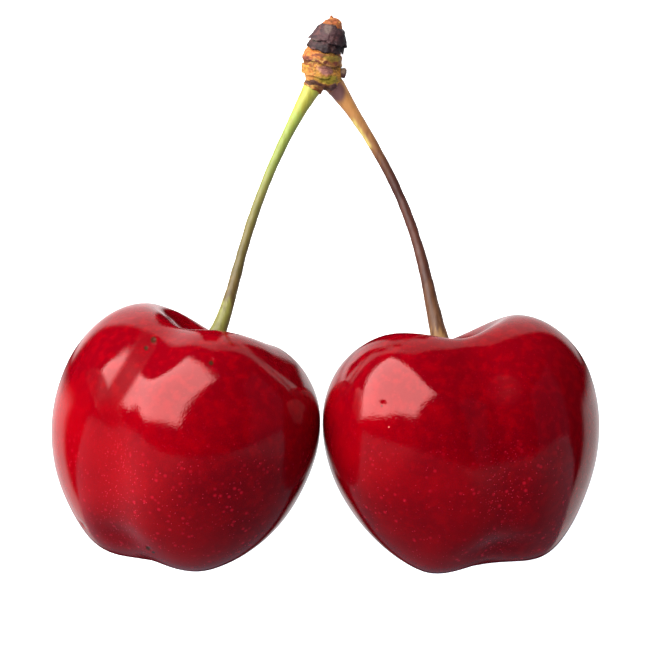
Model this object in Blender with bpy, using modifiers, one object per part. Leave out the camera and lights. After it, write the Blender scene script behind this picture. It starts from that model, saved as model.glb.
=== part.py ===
"""Two sweet cherries on their stalks, joined at a woody spur and laid down on their backs.

The pair is grown first with its stalks upright: +X right, +Y away, +Z up, with the seam of each
cherry towards -Y. It is then laid on its back, so that each cherry and the spur touch the surface.
All dimensions below are in millimetres and degrees.
"""

import math

import bpy
import numpy as np
from mathutils import Euler, Matrix, Vector

MM = 0.001

# Rings and meridians of the sphere that each cherry is shaped from.
FRUIT_SEGMENTS = 48
FRUIT_RINGS = 32

LEFT_CHERRY = {
    "half_width": 14.7,
    "half_depth": 12.6,
    "half_height": 15.3,
    "taper_width": 0.06,
    "taper_depth": 0.06,
    "left_shoulder": -1.2,
    "right_shoulder": -2.6,
    "shoulder_reach": 9.2,
    "saddle": 3.1,
    "saddle_reach": 10.0,
    "seam": 0.85,
    "seam_reach": 4.5,
    "apex": 1.4,
    "apex_reach": 5.6,
    "cavity": 3.8,
    "cavity_reach": 7.3,
    "tilt": 15.9,
    "lean": -8.9,
    "spin": -33.0,
    "centre": (-14.66, 0.0, -10.95),
}
RIGHT_CHERRY = {
    "half_width": 15.0,
    "half_depth": 12.6,
    "half_height": 15.8,
    "taper_width": 0.13,
    "taper_depth": 0.06,
    "left_shoulder": -1.8,
    "right_shoulder": -1.8,
    "shoulder_reach": 11.8,
    "saddle": 3.8,
    "saddle_reach": 11.5,
    "seam": 0.82,
    "seam_reach": 4.3,
    "apex": 2.1,
    "apex_reach": 6.4,
    "cavity": 3.8,
    "cavity_reach": 7.5,
    "tilt": -9.9,
    "lean": -9.4,
    "spin": 17.0,
    "centre": (14.37, 0.0, -11.20),
}
# Each cherry is pressed this much flat on the back that it lies on, as cherries in a crate are.
BACK_FLAT = 0.55

# Polar angles, from the stalk end, between which the seam, saddle and apex of a cherry run.
SADDLE_END = 51.0
SEAM_START = 28.0
APEX_START = 152.0
SHOULDER_ANGLE = 33.75
# How near to its wanted angle or place on the unit sphere a point counts as being there.
POLE_WITHIN = 0.5
PLACE_WITHIN = 1e-3
MIDDLE_WITHIN = 1e-5

# A stalk is a round rod on a cubic curve from the cavity of its cherry to the spur.
STALK_POINTS = 40
ROD_RESOLUTION = 3
LEFT_STALK = {
    "from": (-12.25, 1.50, -2.70),
    "first": (-8.80, 2.60, 1.90),
    "second": (-9.90, 5.60, 9.50),
    "to": (-1.25, 8.00, 24.15),
    "radius": 0.50,
    "foot_flare": 0.62,
    "foot_power": 4.0,
    "head_flare": 0.50,
    "head_power": 14.0,
    "start": 0.02,
    "end": 0.980,
}
RIGHT_STALK = {
    "from": (12.55, 1.40, -3.50),
    "first": (10.00, 2.60, 4.20),
    "second": (11.30, 5.60, 10.00),
    "to": (1.05, 8.00, 24.20),
    "radius": 0.49,
    "foot_flare": 0.56,
    "foot_power": 3.2,
    "head_flare": 0.54,
    "head_power": 15.0,
    "start": 0.02,
    "end": 0.958,
}

# The spur: a turned knob on a leaning axis, with two sockets that run down into the stalks.
SPUR_FOOT = (-0.15, 8.0, 23.75)
SPUR_LEAN = 9.0
SPUR_DEPTH_SCALE = 0.92
SPUR_STEPS = 40
# (height above the fork, radius), from the torn tip down.
SPUR_PROFILE = (
    (8.00, 0.00),
    (7.70, 0.40),
    (7.35, 0.80),
    (7.00, 0.84),
    (6.60, 0.90),
    (6.00, 1.12),
    (5.40, 1.36),
    (4.60, 1.64),
    (3.80, 1.74),
    (3.00, 1.80),
    (2.20, 1.88),
    (1.40, 1.90),
    (0.80, 1.84),
    (0.40, 1.60),
    (0.10, 1.10),
    (-0.10, 0.00),
)
# The spur bows to the left on its way up: (height above the fork, shift to the right).
SPUR_BOW = (
    (0.0, 0.0),
    (1.5, -0.30),
    (2.5, -0.61),
    (3.2, -0.67),
    (5.2, -0.45),
    (6.1, -0.33),
    (6.8, -0.22),
    (7.4, -0.10),
    (8.0, 0.0),
)
# The spur's sockets, from this share of the way along each stalk to past its end.
SOCKET_POINTS = 5
LEFT_SOCKET = {"start": 0.982, "end": 1.04, "radius": 1.02, "top_radius": 1.20}
RIGHT_SOCKET = {"start": 0.960, "end": 1.04, "radius": 0.86, "top_radius": 1.20}

# Dried bud scales round the spur. turn is the angle of the middle of a scale round the spur, 0 to
# the right and -90 towards the seams of the cherries. rise is how much higher its right end sits.
SCALE_THICKNESS = 0.20
SCALE_COLUMNS = 16
SCALE_ROWS = 6
SCALES = {
    "scale_cap_left": {
        "turn": -152.0, "span": 144.0, "top": 7.00, "bottom": 5.15,
        "rise": 0.05, "gap": 0.34, "flare": 0.08,
    },
    "scale_cap_right": {
        "turn": -22.0, "span": 142.0, "top": 7.05, "bottom": 4.85,
        "rise": -0.10, "gap": 0.58, "flare": 0.00,
    },
    "scale_cap_back": {
        "turn": 85.0, "span": 92.0, "top": 6.70, "bottom": 5.00,
        "rise": 0.0, "gap": 0.34, "flare": 0.06,
    },
    "scale_middle": {
        "turn": -100.0, "span": 300.0, "top": 5.75, "bottom": 4.05,
        "rise": -0.45, "gap": 0.08, "flare": 0.04,
    },
    "scale_tan_upper": {
        "turn": -80.0, "span": 270.0, "top": 4.00, "bottom": 2.70,
        "rise": -0.45, "gap": 0.08, "flare": 0.06,
    },
    "scale_tan_lower": {
        "turn": -165.0, "span": 200.0, "top": 2.55, "bottom": 1.35,
        "rise": -0.35, "gap": 0.08, "flare": 0.05,
    },
}

# The short dead stub at the right of the spur.
STUB_TURN = -8.0
STUB_HEIGHT = 2.15
STUB_GAP = 0.08
STUB_LENGTH = 0.70
STUB_RADIUS = 0.42
STUB_SEGMENTS = 16
STUB_RINGS = 10
# The stub is narrower across than it is tall.
STUB_ACROSS = 0.8
STUB_TALL = 1.15

# The lower edge of a scale is rounded: it ends this share higher at its two corners, and its lower
# part is this share narrower.
SCALE_ROUND = 0.30
SCALE_NARROW = 0.12

# Points closer than this are one point.
WELD_WITHIN = 1e-6

# The search for the pose ends after so many turns, or once a turn is this small, in radians.
MOST_TURNS = 60
SMALLEST_TURN = 1e-9

# (base colour, roughness, metallic)
SKIN = ((0.42, 0.0, 0.006), 0.12, 0.0)
GREEN_STALK = ((0.40, 0.46, 0.12), 0.45, 0.0)
RED_STALK = ((0.14, 0.045, 0.03), 0.45, 0.0)
WOOD = ((0.42, 0.17, 0.05), 0.7, 0.0)
DARK_SCALE = ((0.06, 0.025, 0.022), 0.6, 0.0)
TAN_SCALE = ((0.45, 0.20, 0.05), 0.65, 0.0)
STUB_BARK = ((0.12, 0.05, 0.04), 0.7, 0.0)


def clear_scene():
    for obj in list(bpy.data.objects):
        bpy.data.objects.remove(obj, do_unlink=True)


def material(name, look):
    colour, roughness, metallic = look
    made = bpy.data.materials.new(name)
    made.use_nodes = True
    shader = made.node_tree.nodes["Principled BSDF"]
    shader.inputs["Base Color"].default_value = (*colour, 1.0)
    shader.inputs["Roughness"].default_value = roughness
    shader.inputs["Metallic"].default_value = metallic
    return made


def adopt(obj, name, collection, root, look):
    """Names the object, gives it its material and puts it in the collection, under the root."""
    for holder in list(obj.users_collection):
        holder.objects.unlink(obj)
    collection.objects.link(obj)
    obj.name = name
    obj.data.name = name
    obj.parent = root
    obj.data.materials.clear()
    obj.data.materials.append(material(name, look))
    if obj.type == "MESH":
        obj.data.shade_smooth()
    return obj


def points_of(mesh):
    flat = np.empty(len(mesh.vertices) * 3)
    mesh.vertices.foreach_get("co", flat)
    return flat.reshape(-1, 3)


def set_points(mesh, points):
    mesh.vertices.foreach_set("co", np.asarray(points, dtype=float).ravel())
    mesh.update()


def falloff(points, chosen, reach):
    """1 at the chosen points, falling smoothly to 0 at the given reach from the nearest of them."""
    gaps = points[:, None, :] - points[chosen][None, :, :]
    near = np.sqrt((gaps**2).sum(axis=2)).min(axis=1)
    part = np.clip(1.0 - near / reach, 0.0, 1.0)
    return part * part * (3.0 - 2.0 * part)


def cherry(name, size, collection, root):
    """A sphere stretched, tapered, saddled and seamed into a heart-shaped sweet cherry."""
    bpy.ops.mesh.primitive_uv_sphere_add(
        segments=FRUIT_SEGMENTS, ring_count=FRUIT_RINGS, radius=1.0
    )
    obj = bpy.context.object
    unit = points_of(obj.data)
    polar = np.degrees(np.arccos(np.clip(unit[:, 2], -1.0, 1.0)))
    middle = np.abs(unit[:, 0]) < MIDDLE_WITHIN
    in_front = middle & (unit[:, 1] < MIDDLE_WITHIN)
    pole = polar < POLE_WITHIN
    apex = polar > 180.0 - POLE_WITHIN
    saddle = middle & (polar <= SADDLE_END)
    seam = in_front & (polar >= SEAM_START)
    tip = in_front & (polar >= APEX_START)

    half = np.array([size["half_width"], size["half_depth"], size["half_height"]])
    points = unit * half
    share = falloff(points, apex, 2.0 * size["half_height"])
    points[:, 0] *= 1.0 - size["taper_width"] * share
    points[:, 1] *= 1.0 - size["taper_depth"] * share
    for side, key in ((-1.0, "left_shoulder"), (1.0, "right_shoulder")):
        angle = math.radians(SHOULDER_ANGLE)
        wanted = np.array([side * math.sin(angle), 0.0, math.cos(angle)])
        shoulder = np.linalg.norm(unit - wanted, axis=1) < PLACE_WITHIN
        points[:, 2] += size[key] * falloff(points, shoulder, size["shoulder_reach"])
    points[:, 2] -= size["saddle"] * falloff(points, saddle, size["saddle_reach"])
    points[:, 1] += size["seam"] * falloff(points, seam, size["seam_reach"])
    points[:, 2] += size["apex"] * falloff(points, tip, size["apex_reach"])
    points[:, 2] -= size["cavity"] * falloff(points, pole, size["cavity_reach"])

    set_points(obj.data, points * MM)
    adopt(obj, name, collection, root, SKIN)
    obj.rotation_mode = "ZXY"
    turn = [math.radians(size[key]) for key in ("lean", "tilt", "spin")]
    obj.rotation_euler = turn
    obj.location = Vector(size["centre"]) * MM
    return obj


def stalk_point(size, along):
    """The point at this share of the way along the stalk's cubic curve, in millimetres."""
    names = ("from", "first", "second", "to")
    weights = (
        (1 - along) ** 3,
        3 * (1 - along) ** 2 * along,
        3 * (1 - along) * along**2,
        along**3,
    )
    point = Vector((0.0, 0.0, 0.0))
    for name, weight in zip(names, weights):
        point += Vector(size[name]) * weight
    return point


def stalk_radius(size, along):
    foot = size["foot_flare"] * (1 - along) ** size["foot_power"]
    head = size["head_flare"] * along ** size["head_power"]
    return size["radius"] + foot + head


def rod(name, points, radii):
    """A round rod with closed ends through the points, as a curve with a radius at each point."""
    curve = bpy.data.curves.new(name, "CURVE")
    curve.dimensions = "3D"
    curve.bevel_depth = MM
    curve.bevel_resolution = ROD_RESOLUTION
    curve.use_fill_caps = True
    spline = curve.splines.new("POLY")
    spline.points.add(len(points) - 1)
    for knot, point, radius in zip(spline.points, points, radii):
        knot.co = (*(Vector(point) * MM), 1.0)
        knot.radius = radius
    return bpy.data.objects.new(name, curve)


def as_mesh(obj):
    """A mesh object made from the evaluated shape of this one, which is then removed."""
    graph = bpy.context.evaluated_depsgraph_get()
    bpy.context.view_layer.update()
    mesh = bpy.data.meshes.new_from_object(obj.evaluated_get(graph))
    made = bpy.data.objects.new(obj.name, mesh)
    name = obj.name
    bpy.data.objects.remove(obj, do_unlink=True)
    made.name = name
    bpy.context.scene.collection.objects.link(made)
    return made


def stalk(name, size, look, collection, root):
    """A stalk from just above the bottom of the cavity to just below its socket on the spur."""
    share = np.linspace(size["start"], size["end"], STALK_POINTS)
    points = [stalk_point(size, along) for along in share]
    radii = [stalk_radius(size, along) for along in share]
    obj = rod(name, points, radii)
    collection.objects.link(obj)
    obj.parent = root
    obj.data.materials.append(material(name, look))
    return obj


def profile_radius(height):
    heights = [row[0] for row in SPUR_PROFILE][::-1]
    radii = [row[1] for row in SPUR_PROFILE][::-1]
    return float(np.interp(height, heights, radii))


def bowed(point):
    """The point of the straight spur, shifted as the real one bows."""
    heights, shifts = zip(*SPUR_BOW)
    shift = float(np.interp(point[2], heights, shifts))
    return Vector((point[0] + shift, point[1], point[2]))


def spur_frame():
    """Turns the spur's own upright axis to its leaning place above the fork."""
    lean = Matrix.Rotation(math.radians(SPUR_LEAN), 4, "Y")
    return Matrix.Translation(Vector(SPUR_FOOT) * MM) @ lean


def turned_knob(name):
    """The knob of the spur as a profile turned about its own axis."""
    mesh = bpy.data.meshes.new(name)
    verts = [(radius * MM, 0.0, height * MM) for height, radius in SPUR_PROFILE]
    edges = [(i, i + 1) for i in range(len(verts) - 1)]
    mesh.from_pydata(verts, edges, [])
    obj = bpy.data.objects.new(name, mesh)
    bpy.context.scene.collection.objects.link(obj)
    screw = obj.modifiers.new("turn", "SCREW")
    screw.axis = "Z"
    screw.steps = SPUR_STEPS
    screw.render_steps = SPUR_STEPS
    screw.use_merge_vertices = True
    screw.merge_threshold = WELD_WITHIN
    return obj


def socket(name, stalk_size, size):
    """The short end of a stalk that has grown into the spur."""
    share = np.linspace(size["start"], size["end"], SOCKET_POINTS)
    points = [stalk_point(stalk_size, along) for along in share]
    radii = np.linspace(size["radius"], size["top_radius"], SOCKET_POINTS)
    return rod(name, points, radii)


def grow_together(obj, other, hidden):
    """Joins the other shape to this one, and puts the other away in the hidden collection."""
    boolean = obj.modifiers.new(other.name, "BOOLEAN")
    boolean.operation = "UNION"
    boolean.solver = "EXACT"
    boolean.object = other
    for holder in list(other.users_collection):
        holder.objects.unlink(other)
    hidden.objects.link(other)
    other.hide_render = True
    other.display_type = "WIRE"


def spur(collection, hidden, root):
    """The knob with both sockets grown onto it."""
    knob = as_mesh(turned_knob("spur"))
    points = points_of(knob.data) * np.array([1.0, SPUR_DEPTH_SCALE, 1.0])
    frame = spur_frame()
    placed = [frame @ (bowed(point / MM) * MM) for point in points]
    set_points(knob.data, placed)
    adopt(knob, "spur", collection, root, WOOD)
    for name, stalk_size, size in (
        ("left_socket", LEFT_STALK, LEFT_SOCKET),
        ("right_socket", RIGHT_STALK, RIGHT_SOCKET),
    ):
        part = socket(name, stalk_size, size)
        bpy.context.scene.collection.objects.link(part)
        part = as_mesh(part)
        weld(part)
        part.parent = root
        grow_together(knob, part, hidden)
    return knob


def weld(obj):
    modifier = obj.modifiers.new("weld", "WELD")
    modifier.merge_threshold = WELD_WITHIN


def scale(name, size, look, collection, root):
    """A thin curved bud scale that wraps part of the spur, with a rounded free lower edge."""
    bpy.ops.mesh.primitive_grid_add(
        x_subdivisions=SCALE_COLUMNS, y_subdivisions=SCALE_ROWS, size=2.0
    )
    obj = bpy.context.object
    flat = points_of(obj.data)
    placed = []
    frame = spur_frame()
    for across, down, _ in flat:
        share = 0.5 * (1.0 - down)
        edge = 1.0 - SCALE_ROUND * across**2
        height = size["top"] + (size["bottom"] - size["top"]) * share * edge
        height += 0.5 * size["rise"] * across
        width = 1.0 - SCALE_NARROW * share**3
        angle = math.radians(size["turn"] + 0.5 * size["span"] * across * width)
        radius = profile_radius(height) + size["gap"] + SCALE_THICKNESS
        radius += size["flare"] * share**2
        point = Vector(
            (
                radius * math.cos(angle),
                radius * math.sin(angle) * SPUR_DEPTH_SCALE,
                height,
            )
        )
        placed.append(frame @ (bowed(point) * MM))
    set_points(obj.data, placed)
    adopt(obj, name, collection, root, look)
    shell = obj.modifiers.new("thickness", "SOLIDIFY")
    shell.thickness = SCALE_THICKNESS * MM
    shell.offset = -1.0
    return obj


def stub(collection, root):
    """A stub of an old bud: a small rounded lump that stands out of the side of the spur."""
    bpy.ops.mesh.primitive_uv_sphere_add(
        segments=STUB_SEGMENTS, ring_count=STUB_RINGS, radius=1.0
    )
    obj = bpy.context.object
    angle = math.radians(STUB_TURN)
    out = Vector((math.cos(angle), math.sin(angle), 0.0))
    reach = profile_radius(STUB_HEIGHT) + STUB_GAP + STUB_LENGTH * 0.5
    centre = out * reach + Vector((0.0, 0.0, STUB_HEIGHT))
    turn = out.to_track_quat("Z", "Y").to_matrix()
    frame = spur_frame()
    size = Vector((STUB_RADIUS * STUB_ACROSS, STUB_RADIUS * STUB_TALL, STUB_LENGTH * 0.5))
    placed = []
    for point in points_of(obj.data):
        local = turn @ Vector(tuple(point[i] * size[i] for i in range(3)))
        placed.append(frame @ (bowed(local + centre) * MM))
    set_points(obj.data, placed)
    return adopt(obj, "side_stub", collection, root, STUB_BARK)


def world_points(obj, graph, turn):
    """The points of the finished shape of the object, placed by the turn."""
    shape = obj.evaluated_get(graph)
    mesh = shape.to_mesh()
    place = np.array(turn @ obj.matrix_world)
    points = points_of(mesh) @ place[:3, :3].T + place[:3, 3]
    shape.to_mesh_clear()
    return points


def lowest(objects, graph, turn):
    """The lowest point of these objects under the turn."""
    points = np.vstack([world_points(obj, graph, turn) for obj in objects])
    return points[points[:, 2].argmin()].copy()


def resting_turn(cherries, spur_pieces, graph):
    """The turn that brings both pressed backs and the spur down to one level."""
    turn = Euler((math.radians(-90.0), 0.0, 0.0)).to_matrix().to_4x4()
    for _ in range(MOST_TURNS):
        left, right = [lowest([fruit], graph, turn) for fruit in cherries]
        far = lowest(spur_pieces, graph, turn)
        left[2] += BACK_FLAT * MM
        right[2] += BACK_FLAT * MM
        near = 0.5 * (left + right)
        roll = math.atan2(right[2] - left[2], right[0] - left[0])
        pitch = math.atan2(far[2] - near[2], far[1] - near[1])
        turn = Matrix.Rotation(roll, 4, "Y") @ Matrix.Rotation(-pitch, 4, "X") @ turn
        if abs(roll) + abs(pitch) < SMALLEST_TURN:
            break
    return turn


def press_flat(fruit, graph, turn):
    """Moves the part of a cherry that would sink below the surface up to it."""
    place = turn @ fruit.matrix_world
    world = world_points(fruit, graph, turn)
    floor = world[:, 2].min() + BACK_FLAT * MM
    world[:, 2] = np.maximum(world[:, 2], floor)
    back = place.inverted()
    set_points(fruit.data, [back @ Vector(point) for point in world])


def lay_down(root, cherries, spur_pieces):
    """Lays the pair on its back, with the middle of its box over the origin and z = 0 under it."""
    bpy.context.view_layer.update()
    graph = bpy.context.evaluated_depsgraph_get()
    turn = resting_turn(cherries, spur_pieces, graph)
    for fruit in cherries:
        press_flat(fruit, graph, turn)
    bpy.context.view_layer.update()
    graph = bpy.context.evaluated_depsgraph_get()
    shapes = [world_points(obj, graph, turn) for obj in root.children if not obj.hide_render]
    world = np.vstack(shapes)
    low, high = world.min(axis=0), world.max(axis=0)
    shift = Vector((-(low[0] + high[0]) / 2, -(low[1] + high[1]) / 2, -low[2]))
    root.matrix_world = Matrix.Translation(shift) @ turn
    bpy.context.view_layer.update()


def main():
    clear_scene()
    collection = bpy.data.collections.new("cherries_on_stalks")
    hidden = bpy.data.collections.new("sockets")
    bpy.context.scene.collection.children.link(collection)
    bpy.context.scene.collection.children.link(hidden)
    hidden.hide_render = True
    root = bpy.data.objects.new("pair", None)
    collection.objects.link(root)
    left = cherry("left_cherry", LEFT_CHERRY, collection, root)
    right = cherry("right_cherry", RIGHT_CHERRY, collection, root)
    stalk("left_stalk", LEFT_STALK, GREEN_STALK, collection, root)
    stalk("right_stalk", RIGHT_STALK, RED_STALK, collection, root)
    spur_pieces = [spur(collection, hidden, root)]
    for name, size in SCALES.items():
        look = TAN_SCALE if "tan" in name else DARK_SCALE
        spur_pieces.append(scale(name, size, look, collection, root))
    spur_pieces.append(stub(collection, root))
    lay_down(root, (left, right), spur_pieces)


main()
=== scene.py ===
"""A pair of sweet cherries on their stalks, lying on their backs on a pale floor.

Every piece is shaped as it grew, with the stalks upright: +X to the right, +Y away from the
seams and +Z up. It is then laid down with the rest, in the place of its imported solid.
"""

import math

import bpy
import numpy as np
from mathutils import Euler, Matrix, Vector


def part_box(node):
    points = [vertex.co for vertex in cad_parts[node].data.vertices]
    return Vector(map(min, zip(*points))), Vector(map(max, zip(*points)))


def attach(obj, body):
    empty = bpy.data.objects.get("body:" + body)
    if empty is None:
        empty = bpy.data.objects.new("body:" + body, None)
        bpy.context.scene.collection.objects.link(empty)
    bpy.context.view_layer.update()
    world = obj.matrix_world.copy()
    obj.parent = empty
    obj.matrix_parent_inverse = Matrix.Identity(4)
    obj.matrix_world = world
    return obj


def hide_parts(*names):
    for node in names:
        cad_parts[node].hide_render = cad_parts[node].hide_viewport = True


bl_info = {
    "name": "Cherries on Stalks",
    "version": (1, 0, 0),
    "blender": (4, 5, 0),
    "location": "View3D > Sidebar > Cherries",
    "description": "Builds a pair of sweet cherries on stalks that meet at a woody spur",
    "category": "Add Mesh",
}

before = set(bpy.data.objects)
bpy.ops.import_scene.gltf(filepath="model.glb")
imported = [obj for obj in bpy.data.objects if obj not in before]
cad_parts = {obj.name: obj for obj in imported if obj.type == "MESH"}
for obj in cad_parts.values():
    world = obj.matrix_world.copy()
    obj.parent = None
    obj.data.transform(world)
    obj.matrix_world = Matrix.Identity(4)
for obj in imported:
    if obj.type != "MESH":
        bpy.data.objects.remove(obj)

MM = 0.001

# The turn from how the pair grew to how it lies, in degrees about X, Y and Z.
LAY_TURN = (-93.6311, 1.0740, 0.0026)

# Sizes of the fruits, in millimetres and degrees. Half is half the width, depth and height, and
# taper is how much narrower and shallower the tip is. Shoulders are the drops of the left and the
# right one. Saddle, seam, apex and cavity are each a depth and a reach. A press is (degrees
# round from the seam, degrees down from the top, depth), and below zero it is a swelling. Turn
# and centre are the fruit's place as grown. The ripeness is how dark its palest skin is; painted
# shade on its right side and a darkening towards its top are added to it. A line of dull skin is
# ((x, z) of one end, (x, z) of the other, radius).
FRUIT_SEGMENTS = 48
FRUIT_RINGS = 32
LEFT_FRUIT = {
    "half": (14.7, 12.6, 15.3),
    "taper": (0.06, 0.06),
    "shoulders": (-1.1, -2.3),
    "shoulder_reach": 11.2,
    "saddle": (3.1, 10.0),
    "seam": (0.85, 4.5),
    "presses": (
        (15.0, 39.375, -0.56), (37.5, 73.125, -0.14), (0.0, 73.125, -0.68),
        (-30.0, 50.625, -0.14), (75.0, 78.750, -0.09), (30.0, 101.250, -0.54),
        (-7.5, 106.875, 0.34),
    ),
    "apex": (1.35, 6.8),
    "cavity": (3.8, 7.3),
    "turn": (-8.9, 15.9, -33.0),
    "centre": (-14.66, 0.0, -10.95),
    "ripe_and_shaded": 0.36,
    "dull": (((-3.67, 9.93), (-7.36, 4.24), 1.15), ((-8.90, 6.31), (-7.15, 2.70), 1.20)),
}
RIGHT_FRUIT = {
    "half": (15.0, 12.6, 15.8),
    "taper": (0.13, 0.06),
    "shoulders": (-1.8, -1.8),
    "shoulder_reach": 11.8,
    "saddle": (3.8, 11.5),
    "seam": (0.82, 4.3),
    "presses": (
        (-7.5, 45.000, -0.36), (-52.5, 39.375, -0.44), (-37.5, 73.125, -0.43),
        (0.0, 84.375, 0.35), (-30.0, 101.250, -0.17), (-67.5, 90.000, -0.43),
        (30.0, 95.625, -0.29),
    ),
    "apex": (2.0, 7.4),
    "cavity": (3.8, 7.5),
    "turn": (-9.4, -9.9, 17.0),
    "centre": (14.37, 0.0, -11.20),
    "ripe_and_shaded": 0.50,
    "dull": (((3.60, 5.70), (4.40, 5.70), 1.60),),
}
PRESS_REACH = 10.0
# Where the pulls start and end, in degrees down from the top of a fruit.
SADDLE_END = 51.0
SEAM_START = 28.0
SEAM_END = 150.0
APEX_START = 152.0
SHOULDER_ANGLE = 33.75
# Smoothing a coarse shape shrinks it a little, and this makes up for it.
SMOOTHING_LOSS = 1.005
TIP_DULLNESS = 0.85
# Points of a unit sphere closer than this are the same one.
NEAR = 1e-4

# The stalks' cubic curves, from the cavity up to the spur. Foot and head are how much thicker a
# stalk is at that end, and how suddenly.
LEFT_STALK = {
    "curve": (
        (-12.25, 1.50, -2.70), (-8.80, 2.60, 1.90),
        (-9.90, 5.60, 9.50), (-1.25, 8.00, 24.15),
    ),
    "radius": 0.50,
    "foot": (0.62, 4.0),
    "head": (0.50, 14.0),
}
RIGHT_STALK = {
    "curve": (
        (12.55, 1.40, -3.50), (10.00, 2.60, 4.20),
        (11.30, 5.60, 10.00), (1.05, 8.00, 24.20),
    ),
    "radius": 0.49,
    "foot": (0.56, 3.2),
    "head": (0.54, 15.0),
}
# Cuts along a curve before it is made a tube, and places along it that its finish can tell.
STALK_CUTS = 47
STALK_STATIONS = 600

# The spur stands on the fork and leans to the right. Its profile is rows of (height, radius).
SPUR_FOOT = (-0.15, 8.0, 23.75)
SPUR_LEAN = 9.0
SPUR_DEPTH = 0.92
SPUR_PROFILE = (
    (-0.10, 0.00), (0.10, 1.10), (0.40, 1.60), (0.80, 1.84), (1.40, 1.90), (2.20, 1.88),
    (3.00, 1.80), (3.80, 1.74), (4.60, 1.64), (5.40, 1.36), (6.00, 1.12), (6.60, 0.90),
    (7.00, 0.84), (7.35, 0.80), (7.70, 0.40), (8.00, 0.00),
)
# How far the spur bows to the right at each height: (height, shift).
SPUR_BOW = (
    (0.0, 0.0), (1.5, -0.30), (2.5, -0.61), (3.2, -0.67), (5.2, -0.45), (6.1, -0.33),
    (6.8, -0.22), (7.4, -0.10), (8.0, 0.0),
)
# The knob is thicker than that under the cap, so that the cap's scales lie on it.
KNOB_FILL = ((4.4, 0.0), (5.4, 0.24), (6.6, 0.34), (7.0, 0.20), (7.4, 0.08), (7.8, 0.0))
# Ends of the stalks that have grown into the knob: where they start and end from the tops of the
# stalks, and their radii there.
LEFT_COLLAR = (-0.32, 1.40, 1.10, 1.10)
RIGHT_COLLAR = (-0.50, 1.40, 0.98, 1.10)
KNOB_AROUND = 64
KNOB_STEPS = 3
KNOB_VOXEL = 0.07
# Lumps and (below zero) pits of the knob: (turn, height), how far out they stand, and their reach.
KNOB_LUMPS = (
    ((-100.0, 2.30), 0.16, 0.75), ((-165.0, 2.95), 0.18, 0.80), ((-178.0, 4.25), 0.10, 0.90),
    ((-55.0, 1.35), 0.12, 0.80), ((-150.0, 0.85), 0.12, 0.70), ((-20.0, 3.20), 0.10, 0.80),
    ((-70.0, 3.35), 0.10, 0.60), ((-120.0, 3.35), -0.14, 0.45), ((-85.0, 2.98), -0.12, 0.40),
    ((60.0, 2.20), 0.16, 0.90), ((120.0, 3.10), 0.14, 0.90), ((95.0, 1.10), -0.10, 0.60),
    ((-8.0, 2.35), 0.30, 0.80), ((-15.0, 1.75), 0.16, 0.60),
)
# The torn fibre at the very top: where, how it is drawn out, and its reach.
KNOB_SPIKE = ((-0.40, -0.05, 7.72), (-0.08, 0.0, 0.24), 0.36)

# The bud scales. Round is how far their lower corners are cut away, narrow how much narrower
# they get, and tuck the share of them that is tucked into the knob. Each is turned and spans so
# many degrees round the spur, between two heights. It rises to one side, stands off the knob
# by its gap and flares below. Its tears are shares of its length, from left to right.
SCALE_THICKNESS = 0.20
SCALE_ROUND = 0.16
SCALE_NARROW = 0.04
SCALE_TUCK = 0.22
SCALES = {
    "cap_scale_left": {
        "node": "scale_cap_left", "turn": -144.0, "span": 162.0, "top": 7.05, "bottom": 5.10,
        "rise": 0.05, "gap": 0.34, "flare": 0.08, "dark": True,
        "tears": (0.00, 0.16, 0.02, 0.20, 0.06, 0.00, 0.12, 0.04, 0.18),
    },
    "cap_scale_right": {
        "node": "scale_cap_right", "turn": -26.0, "span": 150.0, "top": 6.80, "bottom": 4.80,
        "rise": -0.10, "gap": 0.42, "flare": 0.00, "dark": True,
        "tears": (0.10, 0.00, 0.14, 0.05, 0.22, 0.02, 0.16, 0.00, 0.10),
    },
    "cap_scale_back": {
        "node": "scale_cap_back", "turn": 85.0, "span": 92.0, "top": 6.70, "bottom": 5.00,
        "rise": 0.0, "gap": 0.34, "flare": 0.06, "dark": True,
        "tears": (0.08, 0.18, 0.00, 0.12, 0.04, 0.16, 0.02),
    },
    "middle_scale": {
        "node": "scale_middle", "turn": -100.0, "span": 300.0, "top": 5.75, "bottom": 4.05,
        "rise": -0.45, "gap": 0.08, "flare": 0.04, "dark": True,
        "tears": (0.2, 0.05, 0.35, 0.1, 0.3, 0.02, 0.18, 0.0, 0.14, 0.05, 0.25, 0.0, 0.2, 0.1),
    },
    "tan_scale_upper": {
        "node": "scale_tan_upper", "turn": -80.0, "span": 270.0, "top": 4.00, "bottom": 2.70,
        "rise": -0.45, "gap": 0.08, "flare": 0.06, "dark": False,
        "tears": (0.1, 0.3, 0.0, 0.2, 0.4, 0.1, 0.0, 0.25, 0.05, 0.3, 0.1),
    },
    "tan_scale_lower": {
        "node": "scale_tan_lower", "turn": -165.0, "span": 200.0, "top": 2.55, "bottom": 1.35,
        "rise": -0.35, "gap": 0.08, "flare": 0.05, "dark": False,
        "tears": (0.3, 0.0, 0.2, 0.05, 0.35, 0.1, 0.25, 0.0, 0.2),
    },
}
SCALE_COLUMNS = 72
SCALE_ROWS = 16
SCALE_FOLDS = 0.035

# The old bud's stub: its turn and height on the spur, its gap and its half sizes.
STUB_TURN = -8.0
STUB_HEIGHT = 2.15
STUB_GAP = 0.08
STUB_SIZE = (0.336, 0.483, 0.35)

# Lumps and cracks that are shaped into the surfaces: a pattern's name, its grain and its height.
SKIN_SWELL = ("skin_swell", 6.0, 0.06)
STALK_LUMPS = ("stalk_lumps", 1.6, 0.10)
BARK_LUMPS = ("bark_lumps", 0.9, 0.22)
BARK_CRACKS = ("bark_cracks", 0.30, 0.10)
TAN_CRACKS = ("bark_cracks", 0.30, 0.06)

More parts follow.
